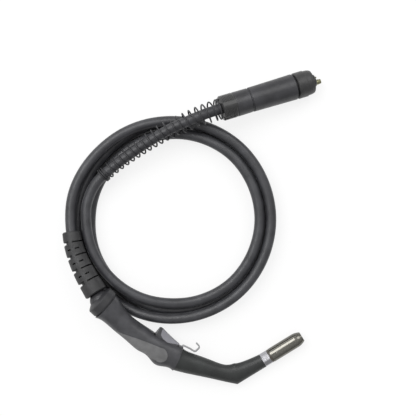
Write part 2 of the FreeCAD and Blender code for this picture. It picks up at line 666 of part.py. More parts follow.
def handle_parts():
    """Two moulded halves and their inlays."""
    start = HANDLE_STATIONS[0][0]
    outside = handle_loft(0, start, HANDLE_STATIONS[-1][0], True)
    under_inlay = handle_loft(INLAY_DEPTH, start, HANDLE_STATIONS[-1][0], True)
    cavity = handle_loft(WALL, CAVITY_START, CAVITY_END, False)
    pocket = outside.common(inlay_prism(0.1)).cut(under_inlay)
    slot_half = TRIGGER_HALF_WIDTH + SLOT_GAP
    slot_end = TRIGGER_FRONT + SLOT_GAP
    slot = Part.makeBox(slot_end - SLOT_START, 40, 2 * slot_half,
                        Vector(SLOT_START, SLOT_FLOOR, -slot_half))
    bosses = [cross_rod(place, BOSS_RADIUS, -30, 30) for place in SCREW_PLACES]
    bosses = [boss.common(handle_loft(0.3, start, CAVITY_END, False)) for boss in bosses]
    shell = outside.cut(cavity).fuse(bosses)
    pin_reach = TRIGGER_PIN_HALF_LENGTH + 0.3
    holes = [pocket, slot, neck_spigot(0.1), handle_bore(), hook_slot(),
             cross_rod(TRIGGER_PIVOT, TRIGGER_PIN_RADIUS, -pin_reach, pin_reach),
             tube(neck_wire(NECK_TUBE_START, TUBE_OVERHANG), NECK_TUBE_RADIUS + CLEARANCE)]
    for place in SCREW_PLACES:
        holes.append(cross_rod(place, SCREW_RADIUS, -SCREW_HEAD_SEAT, SCREW_LENGTH - SCREW_HEAD_SEAT + 0.5))
        holes.append(cross_rod(place, SCREW_HEAD_RADIUS + CLEARANCE, -40, -SCREW_HEAD_SEAT))
    shell = shell.cut(holes)
    inside = handle_loft(INLAY_DEPTH - 0.1, start, HANDLE_STATIONS[-1][0], True)
    inlay = outside.common(inlay_prism(0)).cut(inside)
    upper = Part.makeBox(400, 200, 60, Vector(-50, -100, 0))
    lower = Part.makeBox(400, 200, 60, Vector(-50, -100, -60))
    gap = Vector(0, 0, 0.3)
    return {"handle_shell_left": shell.common(upper),
            "handle_shell_right": shell.common(lower),
            "inlay_left": inlay.common(upper.translated(gap)),
            "inlay_right": inlay.common(lower.translated(-gap))}


def front_end():
    """Ring nut, insulator, diffuser, contact tip and gas nozzle along the nozzle's axis."""
    nut = rod(CLEARANCE, RING_NUT_LENGTH, RING_NUT_RADIUS).cut(rod(-1, 20, NECK_TUBE_RADIUS + 0.1))
    nut = nut.makeChamfer(0.6, [edge for edge in nut.Edges if edge.Curve.TypeId == "Part::GeomCircle"
                                and abs(edge.Curve.Radius - RING_NUT_RADIUS) < 0.01])
    flats = []
    for index in range(RING_NUT_FLATS):
        flat = Part.makeBox(RING_NUT_LENGTH + 2, 2 * RING_NUT_RADIUS, RING_NUT_RADIUS,
                            Vector(-1, -RING_NUT_RADIUS, RING_NUT_ACROSS_FLATS / 2))
        flat.rotate(Vector(0, 0, 0), X_AXIS, 360 * (index + 0.5) / RING_NUT_FLATS)
        flats.append(flat)
    nut = nut.cut(flats)
    flange_start = RING_NUT_LENGTH + 0.1
    flange_end = flange_start + INSULATOR_FLANGE_LENGTH
    insulator = rod(flange_start, flange_end, INSULATOR_FLANGE_RADIUS).fuse(
        rod(flange_start, INSULATOR_END, INSULATOR_RADIUS))
    insulator = insulator.cut(rod(0, INSULATOR_END + 1, DIFFUSER_RADIUS + 0.1))
    diffuser = rod(TUBE_OVERHANG + 0.1, DIFFUSER_END, DIFFUSER_RADIUS).fuse(
        rod(INSULATOR_END + 1, INSULATOR_END + 6, DIFFUSER_RADIUS + 0.9))
    cuts = [rod(0, DIFFUSER_END + 1, LINER_RADIUS + 0.15),
            rod(DIFFUSER_END - TIP_STUB_LENGTH, DIFFUSER_END + 1, TIP_STUB_RADIUS + RUNNING_GAP)]
    for index in range(DIFFUSER_HOLES // 2):
        hole = Part.makeCylinder(DIFFUSER_HOLE_RADIUS, 30, Vector(INSULATOR_END + 8, -15, 0), Y_AXIS)
        hole.rotate(Vector(0, 0, 0), X_AXIS, 90 * index + 45)
        cuts.append(hole)
    diffuser = diffuser.cut(cuts)
    nozzle_start = flange_end + 0.2
    taper_start = NOZZLE_END - NOZZLE_TAPER
    bore = NOZZLE_RADIUS - NOZZLE_WALL
    narrowing = NOZZLE_RADIUS - NOZZLE_MOUTH_RADIUS
    taper = [(taper_start + NOZZLE_TAPER * share, NOZZLE_RADIUS - narrowing * share ** 1.8)
             for share in (0, 0.35, 0.7, 1)]
    inner = [(x, radius - NOZZLE_WALL) for x, radius in reversed(taper)]
    nozzle = turned([(nozzle_start, bore), (nozzle_start, NOZZLE_RADIUS)] + taper + inner)
    socket = rod(nozzle_start - 1, INSULATOR_END, INSULATOR_RADIUS + 0.1)
    sleeve = rod(nozzle_start, INSULATOR_END + 2, NOZZLE_RADIUS - 0.5).cut(
        rod(nozzle_start - 1, INSULATOR_END + 3, bore - 1.0)).cut(socket)
    nozzle = nozzle.fuse(sleeve)
    dents = []
    for place, turn in NOZZLE_DENTS:
        dent = Part.makeSphere(DENT_RADIUS, Vector(place, 0, NOZZLE_RADIUS - DENT_DEPTH + DENT_RADIUS))
        dent.rotate(Vector(0, 0, 0), X_AXIS, -turn)
        dents.append(dent)
    nozzle = nozzle.cut(dents)
    tip_end = NOZZLE_END - TIP_RECESS
    stub_start = DIFFUSER_END - TIP_STUB_LENGTH
    tip = turned([(stub_start, TIP_BORE), (stub_start, TIP_STUB_RADIUS),
                  (DIFFUSER_END, TIP_STUB_RADIUS), (DIFFUSER_END, TIP_RADIUS), (tip_end - 6, TIP_RADIUS),
                  (tip_end, TIP_NOSE_RADIUS), (tip_end, TIP_BORE)])
    parts = {"ring_nut": nut, "insulator": insulator, "gas_diffuser": diffuser, "gas_nozzle": nozzle,
             "contact_tip": tip}
    frame = nozzle_frame()
    for shape in parts.values():
        shape.Placement = frame
    return parts


def torch_parts():
    """Everything that belongs to the handle and the swan neck, in the torch's frame."""
    parts = handle_parts()
    parts["handle_screws"] = screws()
    parts.update(trigger_parts())
    parts["switch_body"], parts["switch_plunger"], parts["switch_leads"] = switch_parts()
    parts["hanging_hook"] = hook()
    wire = neck_wire(NECK_TUBE_START, TUBE_OVERHANG)
    liner_wire = neck_wire(BLOCK_START + 0.2, DIFFUSER_END - TIP_STUB_LENGTH - 0.2)
    parts["neck_cover"] = neck_solid().cut(tube(wire, NECK_TUBE_RADIUS + CLEARANCE))
    parts["neck_tube"] = tube(wire, NECK_TUBE_RADIUS, NECK_TUBE_BORE)
    parts["wire_liner"] = tube(liner_wire, LINER_RADIUS, LINER_BORE)
    block_axis = Vector(BLOCK_START, NECK_TUBE_HEIGHT, 0)
    block = Part.makeCylinder(BLOCK_RADIUS, NECK_TUBE_START - BLOCK_START - 0.1, block_axis, X_AXIS)
    parts["cable_block"] = block.cut(Part.makeCylinder(NECK_TUBE_BORE, 40, block_axis, X_AXIS))
    parts["handle_core"] = Part.makeCylinder(CORE_RADIUS, BLOCK_START - CORE_START - 0.1,
                                             Vector(CORE_START, NECK_TUBE_HEIGHT, 0), X_AXIS)
    parts.update(front_end())
    parts["ball_collar"] = ball_joint()
    return parts


def torch_placement():
    """The torch rests on the neck cover's heel and on the nozzle, with the ball at its own height."""
    frame = nozzle_frame()
    shoulder = frame.multVec(Vector(NOZZLE_END - NOZZLE_TAPER, 0, 0))
    heel = neck_point(0, (NECK_REAR_ANGLE + NECK_FRONT_ANGLE) / 2, HEEL_HEIGHT / 2)
    drop_heel = BALL_CENTRE.z - HEEL_HALF_WIDTH - REST_MARGIN
    drop_nozzle = BALL_CENTRE.z - NOZZLE_RADIUS - REST_MARGIN
    width = heel[0] * shoulder.y - heel[1] * shoulder.x
    pitch = math.asin((drop_heel * shoulder.y - drop_nozzle * heel[1]) / width)
    roll = math.asin((drop_heel * shoulder.x - drop_nozzle * heel[0]) / width)
    turn = Rotation(Z_AXIS, HANDLE_HEADING)
    turn = turn.multiply(Rotation(Y_AXIS, math.degrees(pitch)))
    turn = turn.multiply(Rotation(X_AXIS, math.degrees(roll)))
    return Placement(BALL_CENTRE, turn)


def relief_wire():
    """Centre line of the boot: straight over the ball's stem, then two arcs to the coil."""
    start_way = heading_vector(RELIEF_START_HEADING, RELIEF_START_SLOPE)
    end_way = heading_vector(RELIEF_END_HEADING, RELIEF_END_SLOPE)
    stem_end = start_way * (STEM_LENGTH + CLEARANCE)
    straight = Part.LineSegment(start_way * RELIEF_START, stem_end).toShape()
    return Part.Wire([straight] + two_arcs(stem_end, start_way, RELIEF_END, end_way))


def along(wire, distance):
    """Point and direction at a distance along a wire."""
    for edge in wire.OrderedEdges:
        if distance <= edge.Length or edge is wire.OrderedEdges[-1]:
            forward = edge.Orientation == "Forward"
            reach = min(distance, edge.Length) if forward else edge.Length - min(distance, edge.Length)
            parameter = edge.getParameterByLength(reach)
            way = edge.tangentAt(parameter)
            return edge.valueAt(parameter), way if forward else -way
        distance -= edge.Length


def relief_frame(wire, distance):
    """Frame at a place on the relief: X along it, Y level to its left, Z up."""
    point, way = along(wire, distance)
    left = Z_AXIS.cross(way).normalize()
    up = way.cross(left)
    rows = [(way.x, left.x, up.x, point.x), (way.y, left.y, up.y, point.y), (way.z, left.z, up.z, point.z)]
    return Placement(FreeCAD.Matrix(*rows[0], *rows[1], *rows[2], 0, 0, 0, 1))


def relief_parts():
    """Slotted boot, the ball with its stem, and the end of the lead inside them."""
    wire = relief_wire()
    length = wire.Length
    taper = (RELIEF_RADIUS_AT_LEAD - RELIEF_RADIUS_AT_BALL) / length
    floor_taper = (RELIEF_FLOOR_AT_LEAD - RELIEF_FLOOR_AT_BALL) / length
    places = [0, RELIEF_END_CHAMFER] + [length * tenth / 10 for tenth in range(1, 10)]
    wires = []
    for place in places + [length - RELIEF_END_CHAMFER, length - 1e-6]:
        end_loss = max(0, RELIEF_END_CHAMFER - min(place, length - place))
        wires.append(relief_ring(wire, place, RELIEF_RADIUS_AT_BALL + taper * place - end_loss))
    boot = Part.makeLoft(wires, True, True)
    cuts = []
    inner = CABLE_RADIUS + SLEEVE_WALL
    for place in NOTCH_PLACES:
        cuts.append(ring_slot(wire, place, inner, -30.0, RELIEF_SLOT_EDGE))
        cuts.append(notch(wire, place, RELIEF_FLOOR_AT_BALL + floor_taper * place,
                          RELIEF_RADIUS_AT_BALL + taper * place))
    for before, after in zip(NOTCH_PLACES, NOTCH_PLACES[1:]):
        cuts += [ring_slot(wire, (before + after) / 2, inner, *edges) for edges in SHORT_SLOTS]
    boot = boot.cut(cuts).cut([tube(wire, CABLE_RADIUS + 0.1), Part.makeSphere(BALL_RADIUS + 0.4)])
    start_way = heading_vector(RELIEF_START_HEADING, RELIEF_START_SLOPE)
    stem = Part.makeCylinder(STEM_RADIUS, STEM_LENGTH, Vector(0, 0, 0), start_way)
    mouth = Part.makeCylinder(JOURNAL_BORE, BALL_RADIUS, start_way * -9.0, start_way * -1)
    bore = Part.makeCylinder(STEM_BORE, STEM_LENGTH + BALL_RADIUS + 2, start_way * -BALL_RADIUS, start_way)
    ball = Part.makeSphere(BALL_RADIUS).cut(mouth).fuse(stem).cut(bore)
    end_piece = tube(wire, CABLE_RADIUS).cut(
        Part.makeCylinder(CABLE_RADIUS * 2, STEM_LENGTH + CLEARANCE, Vector(0, 0, 0), start_way))
    core = Part.makeCylinder(CORE_RADIUS, STEM_LENGTH + 8, start_way * -8, start_way)
    return {"bend_relief": boot, "swivel_ball": ball, "lead_end": end_piece, "cable_core": core}


def relief_ring(wire, distance, radius):
    ring = circle(Vector(0, 0, 0), X_AXIS, radius)
    ring.Placement = relief_frame(wire, distance)
    return ring


def ring_slot(wire, distance, inner, right, left):
    """Narrow slot round the boot between two distances to its left, down to the inner radius."""
    block = Part.makeBox(RELIEF_SLOT, left - right, 60, Vector(-RELIEF_SLOT / 2, right, -30))
    slot = block.cut(rod(-RELIEF_SLOT, RELIEF_SLOT, inner))
    slot.Placement = relief_frame(wire, distance)
    return slot


def notch(wire, distance, floor, radius):
    """Wide notch with flared sides round the left of the boot."""
    half = RELIEF_NOTCH / 2
    shoulder = radius - RELIEF_NOTCH_FLARE
    rise = RELIEF_NOTCH_FLARE + 4
    groove = turned([(-half, floor), (-half, shoulder), (-half - rise, shoulder + rise),
                     (half + rise, shoulder + rise), (half, shoulder), (half, floor)])
    side = Part.makeBox(60, 60, 80, Vector(-30, RELIEF_NOTCH_EDGE, -40))
    cut = groove.common(side)
    cut.Placement = relief_frame(wire, distance)
    return cut


def coil_point(angle, radius, lift):
    """Point of the coil, whose turns run clockwise from its left."""
    turn = math.radians(angle)
    return COIL_CENTRE + Vector(-radius * math.cos(turn), radius * math.sin(turn), FLOOR_HEIGHT + lift)


def coil_way(before, station, after):
    """Direction of the lead at a station; its slope keeps it from dipping between two stations."""
    angles = [math.radians(place[0]) for place in (before, station, after)]
    outward = Vector(-math.cos(angles[1]), math.sin(angles[1]), 0)
    forward = Vector(math.sin(angles[1]), math.cos(angles[1]), 0)
    way = forward * station[1] + outward * ((after[1] - before[1]) / (angles[2] - angles[0]))
    if before[2] < station[2] < after[2] or before[2] > station[2] > after[2]:
        climb = (station[2] - before[2]) / (angles[1] - angles[0])
        next_climb = (after[2] - station[2]) / (angles[2] - angles[1])
        way += Z_AXIS * (2 * climb * next_climb / (climb + next_climb))
    return way.normalize()


def coil_edges():
    """Centre line of the coil: a straight end, two arcs from station to station, and a straight end."""
    stations = COIL_STATIONS
    after_all = stations[1:] + [COIL_EXIT]
    before_all = stations[:1] + stations[:-1]
    points = [coil_point(*station) for station in stations]
    ways = [coil_way(*three) for three in zip(before_all, stations, after_all)]
    start_way = heading_vector(RELIEF_END_HEADING, RELIEF_END_SLOPE)
    after_start = RELIEF_END + start_way * 2 * CABLE_RADIUS
    end = coil_point(*COIL_EXIT)
    before_end = end - Y_AXIS * 2 * CABLE_RADIUS
    edges = [Part.LineSegment(RELIEF_END, after_start).toShape()]
    edges += two_arcs(after_start, start_way, points[0], ways[0])
    for index in range(len(points) - 1):
        edges += two_arcs(points[index], ways[index], points[index + 1], ways[index + 1])
    edges += two_arcs(points[-1], ways[-1], before_end, Y_AXIS)
    edges.append(Part.LineSegment(before_end, end).toShape())
    return edges


def least_gap(samples, skip, radius):
    """Smallest space between parts of one line that lie more than skip samples apart."""
    least = 1e9
    for index, point in enumerate(samples):
        for other in samples[index + skip:]:
            least = min(least, point.distanceToPoint(other))
    return least - 2 * radius


def tail_wire():
    start = coil_point(*COIL_EXIT)
    way = heading_vector(PLUG_HEADING, PLUG_SLOPE)
    entry = COIL_CENTRE + PLUG_ENTRY
    points = [start] + [COIL_CENTRE + point for point in TAIL_ROUTE] + [entry - way * PLUG_STRAIGHT]
    points.append(entry + way * CABLE_ENTRY)
    radii = route_radii(points, ARC_SHARE)
    print("tail radii", [round(radius) for radius in radii])
    return rounded_wire(points, radii)


def guard_spring(wire):
    """One wire wound round the tail: closed far end, open curls that widen, closed near end."""
    finish = wire.Length - CABLE_ENTRY - SPRING_END_GAP
    start = finish - SPRING_REACH
    closed_far = SPRING_CLOSED_FAR * SPRING_CLOSED_PITCH
    closed_near = SPRING_CLOSED_NEAR * SPRING_CLOSED_PITCH
    open_pitch = (SPRING_REACH - closed_far - closed_near) / SPRING_OPEN_CURLS
    curls = SPRING_CLOSED_FAR + SPRING_OPEN_CURLS + SPRING_CLOSED_NEAR
    halves = 2 * curls

    def travel(curl):
        if curl < SPRING_CLOSED_FAR:
            return curl * SPRING_CLOSED_PITCH
        if curl < SPRING_CLOSED_FAR + SPRING_OPEN_CURLS:
            return closed_far + (curl - SPRING_CLOSED_FAR) * open_pitch
        return closed_far + SPRING_OPEN_CURLS * open_pitch + (
            curl - SPRING_CLOSED_FAR - SPRING_OPEN_CURLS) * SPRING_CLOSED_PITCH

    def place(curl):
        distance = travel(curl)
        point, way = along(wire, start + distance)
        left = Z_AXIS.cross(way).normalize()
        up = way.cross(left)
        radius = SPRING_FAR_RADIUS + (SPRING_NEAR_RADIUS - SPRING_FAR_RADIUS) * distance / SPRING_REACH
        turn = 2 * math.pi * curl
        return point + left * (radius * math.cos(turn)) + up * (radius * math.sin(turn))

    step = 1e-3
    points = [place(index / 2) for index in range(halves + 1)]
    ways = [(place(min(index / 2 + step, curls)) - place(max(index / 2 - step, 0))).normalize()
            for index in range(halves + 1)]
    edges = []
    for index in range(halves):
        edges += two_arcs(points[index], ways[index], points[index + 1], ways[index + 1])
    spine = Part.Wire(edges)
    samples = [place(index / 24) for index in range(24 * curls + 1)]
    print("spring gap to itself", round(least_gap(samples, 12, SPRING_WIRE), 2))
    return tube(spine, SPRING_WIRE)


def lead_parts():
    """Coil, tail and guard spring."""
    spine = Part.Wire(coil_edges())
    coil = tube(spine, CABLE_RADIUS)
    print("coil length", round(spine.Length), "volume share",
          round(coil.Volume / (math.pi * CABLE_RADIUS ** 2 * spine.Length), 4))
    samples = spine.discretize(Number=400)
    print("coil gap to itself", round(least_gap(samples, 40, CABLE_RADIUS), 2))
    floor = Part.makeBox(900, 900, 30, Vector(-450, -450, -30) + COIL_CENTRE)
    coil = coil.cut(floor)
    tail = tail_wire()
    print("tail length", round(tail.Length), "volume share",
          round(tube(tail, CABLE_RADIUS).Volume / (math.pi * CABLE_RADIUS ** 2 * tail.Length), 4))
    return {"cable_coil": coil, "cable_tail": tube(tail, CABLE_RADIUS), "guard_spring": guard_spring(tail)}


def plug_placement():
    turn = Rotation(Z_AXIS, PLUG_HEADING).multiply(Rotation(Y_AXIS, -PLUG_SLOPE))
    return Placement(COIL_CENTRE + PLUG_ENTRY, turn)


def plug_parts():
    """Central plug along X: bushing, collar, barrel, hand nut, contact holder, wire tube and contacts."""
    cable_hole = CABLE_RADIUS + 0.15
    rib_pitch = (BUSHING_LENGTH - 2) / BUSHING_RIBS
    outline = [(0, cable_hole), (0, BUSHING_RADIUS - 2), (1, BUSHING_RADIUS - BUSHING_RIB_DEPTH)]
    for rib in range(BUSHING_RIBS):
        begin = 1 + rib * rib_pitch
        outline.append((begin + rib_pitch / 2, BUSHING_RADIUS))
        outline.append((begin + rib_pitch, BUSHING_RADIUS - BUSHING_RIB_DEPTH))
    outline += [(BUSHING_LENGTH, BUSHING_RADIUS - BUSHING_RIB_DEPTH), (BUSHING_LENGTH, cable_hole)]
    lands = rod(1, BUSHING_LENGTH, BUSHING_RADIUS).cut(rod(0, BUSHING_LENGTH + 1, cable_hole))
    land_band = Part.makeBox(BUSHING_LENGTH, BUSHING_LAND_WIDTH, 60, Vector(0, -BUSHING_LAND_WIDTH / 2, -30))
    bushing = turned(outline).fuse(lands.common(land_band))
    collar_start = BUSHING_LENGTH + 0.1
    collar = turned([(collar_start, cable_hole), (collar_start, PLUG_COLLAR_RADIUS - 0.4),
                     (collar_start + 1, PLUG_COLLAR_RADIUS), (COLLAR_END - 1.2, PLUG_COLLAR_RADIUS - 0.2),
                     (COLLAR_END, PLUG_COLLAR_RADIUS - 1.2), (COLLAR_END, 0), (CABLE_ENTRY + 0.2, 0),
                     (CABLE_ENTRY + 0.2, cable_hole)])
    aside = Vector(0, WIRE_TUBE_OFFSET, 0)
    terminal_hole = rod(CABLE_ENTRY, HOLDER_START + 1, TERMINAL_RADIUS + 0.1).translated(aside)
    collar = collar.cut(terminal_hole)
    groove_end = COLLAR_END + JOINT_GROOVE
    ring_start = SPIGOT_END - 1.0 - SNAP_RING_WIDTH
    housing = turned([(COLLAR_END + 0.1, 0),
                      (COLLAR_END + 0.1, HOUSING_REAR_RADIUS - JOINT_GROOVE_DEPTH),
                      (groove_end, HOUSING_REAR_RADIUS - JOINT_GROOVE_DEPTH),
                      (groove_end, HOUSING_REAR_RADIUS - 0.5), (groove_end + 0.8, HOUSING_REAR_RADIUS),
                      (HOUSING_END - 1.2, HOUSING_FRONT_RADIUS), (HOUSING_END, HOUSING_FRONT_RADIUS - 1.0),
                      (HOUSING_END, SPIGOT_RADIUS), (ring_start, SPIGOT_RADIUS),
                      (ring_start, SPIGOT_RADIUS - SNAP_RING_DEPTH),
                      (ring_start + SNAP_RING_WIDTH, SPIGOT_RADIUS - SNAP_RING_DEPTH),
                      (ring_start + SNAP_RING_WIDTH, SPIGOT_RADIUS), (SPIGOT_END, SPIGOT_RADIUS),
                      (SPIGOT_END, HOLDER_FOOT_RADIUS + 0.1),
                      (HOLDER_START - 0.1, HOLDER_FOOT_RADIUS + 0.1), (HOLDER_START - 0.1, 0)])
    screw_foot = Vector(PLUG_SCREW_PLACE, WIRE_TUBE_OFFSET, -40)
    screw_hole = Part.makeCylinder(PLUG_SCREW_RADIUS, 40, screw_foot, Z_AXIS)
    screw_base = HOUSING_REAR_RADIUS - PLUG_SCREW_DEPTH
    screw_head = Vector(PLUG_SCREW_PLACE, WIRE_TUBE_OFFSET, 1.2 - screw_base - PLUG_SCREW_DEPTH)
    plug_screw = Part.makeCylinder(PLUG_SCREW_RADIUS - 0.05, PLUG_SCREW_DEPTH - 1.2, screw_head, Z_AXIS)
    slot = Part.makeBox(5, 0.8, 0.8, screw_head - Vector(2.5, 0.4, 0))
    housing = housing.cut([terminal_hole, screw_hole])
    snap_ring = turned([(ring_start + 0.1, SPIGOT_RADIUS - SNAP_RING_DEPTH + 0.05),
                        (ring_start + 0.1, SNAP_RING_RADIUS),
                        (ring_start + SNAP_RING_WIDTH - 0.1, SNAP_RING_RADIUS),
                        (ring_start + SNAP_RING_WIDTH - 0.1, SPIGOT_RADIUS - SNAP_RING_DEPTH + 0.05)])
    ring_gap = Part.makeBox(10, 4, 10, Vector(ring_start - 4, -2, SPIGOT_RADIUS - 4))
    snap_ring = snap_ring.cut(ring_gap)
    rear_wall = ring_start - CLEARANCE
    nut = turned([(NUT_START, SPIGOT_RADIUS + CLEARANCE), (NUT_START, NUT_RADIUS - 1),
                  (NUT_START + 1, NUT_RADIUS), (NUT_GRIP_END - 0.6, NUT_RADIUS),
                  (NUT_GRIP_END, NUT_SKIRT_RADIUS),
                  (NUT_END - 5, NUT_SKIRT_RADIUS - 0.2), (NUT_END - 2, NUT_LIP_RADIUS + 0.5),
                  (NUT_END, NUT_LIP_RADIUS - 0.4), (NUT_END, NUT_BORE), (rear_wall, NUT_BORE),
                  (rear_wall, SPIGOT_RADIUS + CLEARANCE)])
    holder = turned([(HOLDER_START, 0), (HOLDER_START, HOLDER_FOOT_RADIUS),
                     (SPIGOT_END + 0.1, HOLDER_FOOT_RADIUS), (SPIGOT_END + 0.1, HOLDER_RADIUS),
                     (HOLDER_END - 2.4, HOLDER_RADIUS), (HOLDER_END - 0.8, HOLDER_RADIUS - 0.9),
                     (HOLDER_END, HOLDER_RADIUS - 2.4), (HOLDER_END, 0)])
    holder = holder.cut(rod(HOLDER_START - 1, HOLDER_END + 1, WIRE_TUBE_RADIUS + 0.1).translated(aside))
    terminal = rod(TERMINAL_START, HOLDER_START - 0.2, TERMINAL_RADIUS).cut(rod(0, 200, WIRE_TUBE_BORE))
    terminal = terminal.translated(aside).cut(screw_hole)
    wire_tube = turned([(HOLDER_START, WIRE_TUBE_BORE), (HOLDER_START, WIRE_TUBE_RADIUS),
                        (WIRE_TUBE_END - 3.4, WIRE_TUBE_RADIUS), (WIRE_TUBE_END - 2.6, WIRE_TUBE_NOSE + 0.3),
                        (WIRE_TUBE_END, WIRE_TUBE_NOSE), (WIRE_TUBE_END, WIRE_TUBE_BORE)])
    parts = {"guard_bushing": bushing, "rear_collar": collar, "plug_housing": housing,
             "plug_screw": plug_screw.cut(slot), "snap_ring": snap_ring, "union_nut": nut,
             "plug_terminal": terminal, "wire_tube": wire_tube.translated(aside)}
    for name, side in (("contact_pin_upper", 1), ("contact_pin_lower", -1)):
        tip = Vector(HOLDER_END + CONTACT_PROUD, CONTACT_OFFSET, side * CONTACT_SPREAD)
        foot = tip - X_AXIS * CONTACT_LENGTH
        pin = Part.makeCylinder(CONTACT_RADIUS, CONTACT_LENGTH - CONTACT_RADIUS, foot, X_AXIS)
        parts[name] = pin.fuse(Part.makeSphere(CONTACT_RADIUS, tip - X_AXIS * CONTACT_RADIUS))
        well_floor = foot - X_AXIS * (CONTACT_TRAVEL + 0.3)
        holder = holder.cut(Part.makeCylinder(CONTACT_RADIUS + RUNNING_GAP, 40, well_floor, X_AXIS))
    parts["contact_holder"] = holder
    return parts


def build():
    nodes = {}
    for name, shape in torch_parts().items():
        nodes[name] = shape.copy()
        nodes[name].Placement = torch_placement().multiply(nodes[name].Placement)
    for parts in (relief_parts(), lead_parts()):
        for name, shape in parts.items():
            nodes[name] = shape.copy()
            nodes[name].Placement = Placement(BALL_CENTRE, Rotation()).multiply(nodes[name].Placement)
    for name, shape in plug_parts().items():
        nodes[name] = shape.copy()
        place = Placement(BALL_CENTRE, Rotation()).multiply(plug_placement())
        nodes[name].Placement = place.multiply(nodes[name].Placement)
    return nodes


os.makedirs("parts", exist_ok=True)
for node, shape in build().items():
    shape.exportStep("parts/" + node + ".step")
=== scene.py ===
import bpy
import json
import math
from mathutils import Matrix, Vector


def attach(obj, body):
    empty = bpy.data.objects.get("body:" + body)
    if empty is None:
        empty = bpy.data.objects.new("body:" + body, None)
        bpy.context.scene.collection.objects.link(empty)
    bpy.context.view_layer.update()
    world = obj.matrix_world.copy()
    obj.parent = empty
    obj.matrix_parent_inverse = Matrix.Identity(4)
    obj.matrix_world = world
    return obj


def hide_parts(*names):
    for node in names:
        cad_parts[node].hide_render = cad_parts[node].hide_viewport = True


# MIG welding torch lying on a white bench, seen straight from above. Metres, in the frame of the CAD.

# Camera
CAMERA_CENTRE = (0.0151, 0.195)
CAMERA_HEIGHT = 1.513
CAMERA_LENS = 85.0
CAMERA_SENSOR = 36.0
CAMERA_NEAR = 0.05
CAMERA_FAR = 20.0

# Light of the room: bright overhead and towards the upper left, dim on the other side
BRIGHT_SIDE = (-0.35, 0.4, 0.85)
BRIGHT_SKY = 0.9
DIM_SKY = 0.38
SKY_RISE = (0.35, 0.95)

# Soft lamps: name, place, width, height and power in watts
LAMPS = [
    ("key", (-0.8, 0.9, 1.7), 1.2, 1.2, 20),
    ("side", (-1.2, 1.4, 0.5), 1.8, 0.8, 3),
    ("top", (0.75, 1.25, 1.5), 1.1, 1.1, 8),
]
LAMP_AIM = Vector((0, 0.1, 0))

# Floor: white in the open, dark with painted shade where the torch leaves it less sky than the lower end of
# a rise
FLOOR_HALF = 12.0
FLOOR_HEIGHT = -0.0005
FLOOR_ROUGHNESS = 0.8
SKY_REACH = 0.016
SKY_SAMPLES = 48
# Painted shade in the floor's colour: dark grey in the gaps, its own grey in the open, across this rise of
# open sky
PAINTED_SHADE_RISE = (0.24, 0.38)
GAP_PAINTED_SHADE = 0.08
OPEN_GREY = 0.9
WHITE_RISE = (0.3, 0.42)
WHITE_SHARE = 0.8

# Lead: the route's points of the CAD source. A station is an angle, a radius and a lift off the bench
BALL_CENTRE = Vector((-0.1453, 0.0563, 0.042))
COIL_CENTRE = BALL_CENTRE + Vector((0.102, 0.1211, -0.042))
CABLE_RADIUS = 0.008
STEM_HEADING = 122.0
STEM_SLOPE = -5.0
STEM_START = 0.018
RELIEF_CORNER = 0.0512
RELIEF_END = BALL_CENTRE + Vector((-0.046, 0.1024, -0.0112))
RELIEF_END_HEADING = 97.5
RELIEF_END_SLOPE = -6.0
RELIEF_END_REACH = 0.0210
TURN_STEP = 15
COIL_STATIONS = [
    (22, 0.1504, 0.0182), (45, 0.1482, 0.0164), (90, 0.1490, 0.0170), (135, 0.1534, 0.0158),
    (180, 0.1542, 0.0148), (225, 0.1532, 0.0144), (262, 0.1508, 0.0134), (284, 0.1503, 0.0089),
    (302, 0.1495, 0.0010), (328, 0.1454, 0.0), (360, 0.1410, 0.0), (405, 0.1404, 0.0),
    (450, 0.1472, 0.0), (495, 0.1464, 0.0), (540, 0.1455, 0.0), (585, 0.1430, 0.0),
    (630, 0.1390, 0.0), (675, 0.1282, 0.0), (720, 0.1214, 0.0), (765, 0.1218, 0.0016),
    (810, 0.1302, 0.0086), (855, 0.1360, 0.0148), (900, 0.1369, 0.0150), (945, 0.1342, 0.0148),
    (990, 0.1266, 0.0157), (1035, 0.1254, 0.0166), (1080, 0.1260, 0.0166),
]
COIL_END = COIL_STATIONS[-1][0]
TAIL_ROUTE = [
    (-0.1260, 0.0255, 0.0241), (-0.1128, 0.0552, 0.0272), (-0.0862, 0.0792, 0.0315),
    (-0.0588, 0.0992, 0.0364), (-0.0284, 0.1187, 0.0420), (0.0010, 0.1356, 0.0472),
    (0.0260, 0.1458, 0.0504), (0.0455, 0.1545, 0.0512),
]
PLUG_ENTRY = COIL_CENTRE + Vector((0.0774, 0.1657, 0.0470))
PLUG_HEADING = 17.8
PLUG_SLOPE = -11.5
PLUG_STRAIGHT = 0.012
CABLE_ENTRY = 0.024
LEAD_ORDER = 3
LEAD_SMOOTHNESS = 6

# Looks: the noise in the materials, then each material's own values
MOTTLE_SCALE = 55.0
MOTTLE_RISE = (0.35, 0.65)
SMUDGE_SCALE = 130.0
SMUDGE_RISE = (0.3, 0.7)
SHEEN_BELOW = 0.06
SHEEN_ABOVE = 0.07
DRAWN_COLOUR_RISE = (0.3, 0.7)
DRAWN_SHEEN_RISE = (0.25, 0.75)
DRAWN_SHEEN_SPAN = (0.8, 1.25)
DRAWN_DEPTH = 0.00002
NOZZLE_TURN = (0, 0, math.radians(-31.8))
PLUG_TURN = (0, 0, math.radians(-PLUG_HEADING))

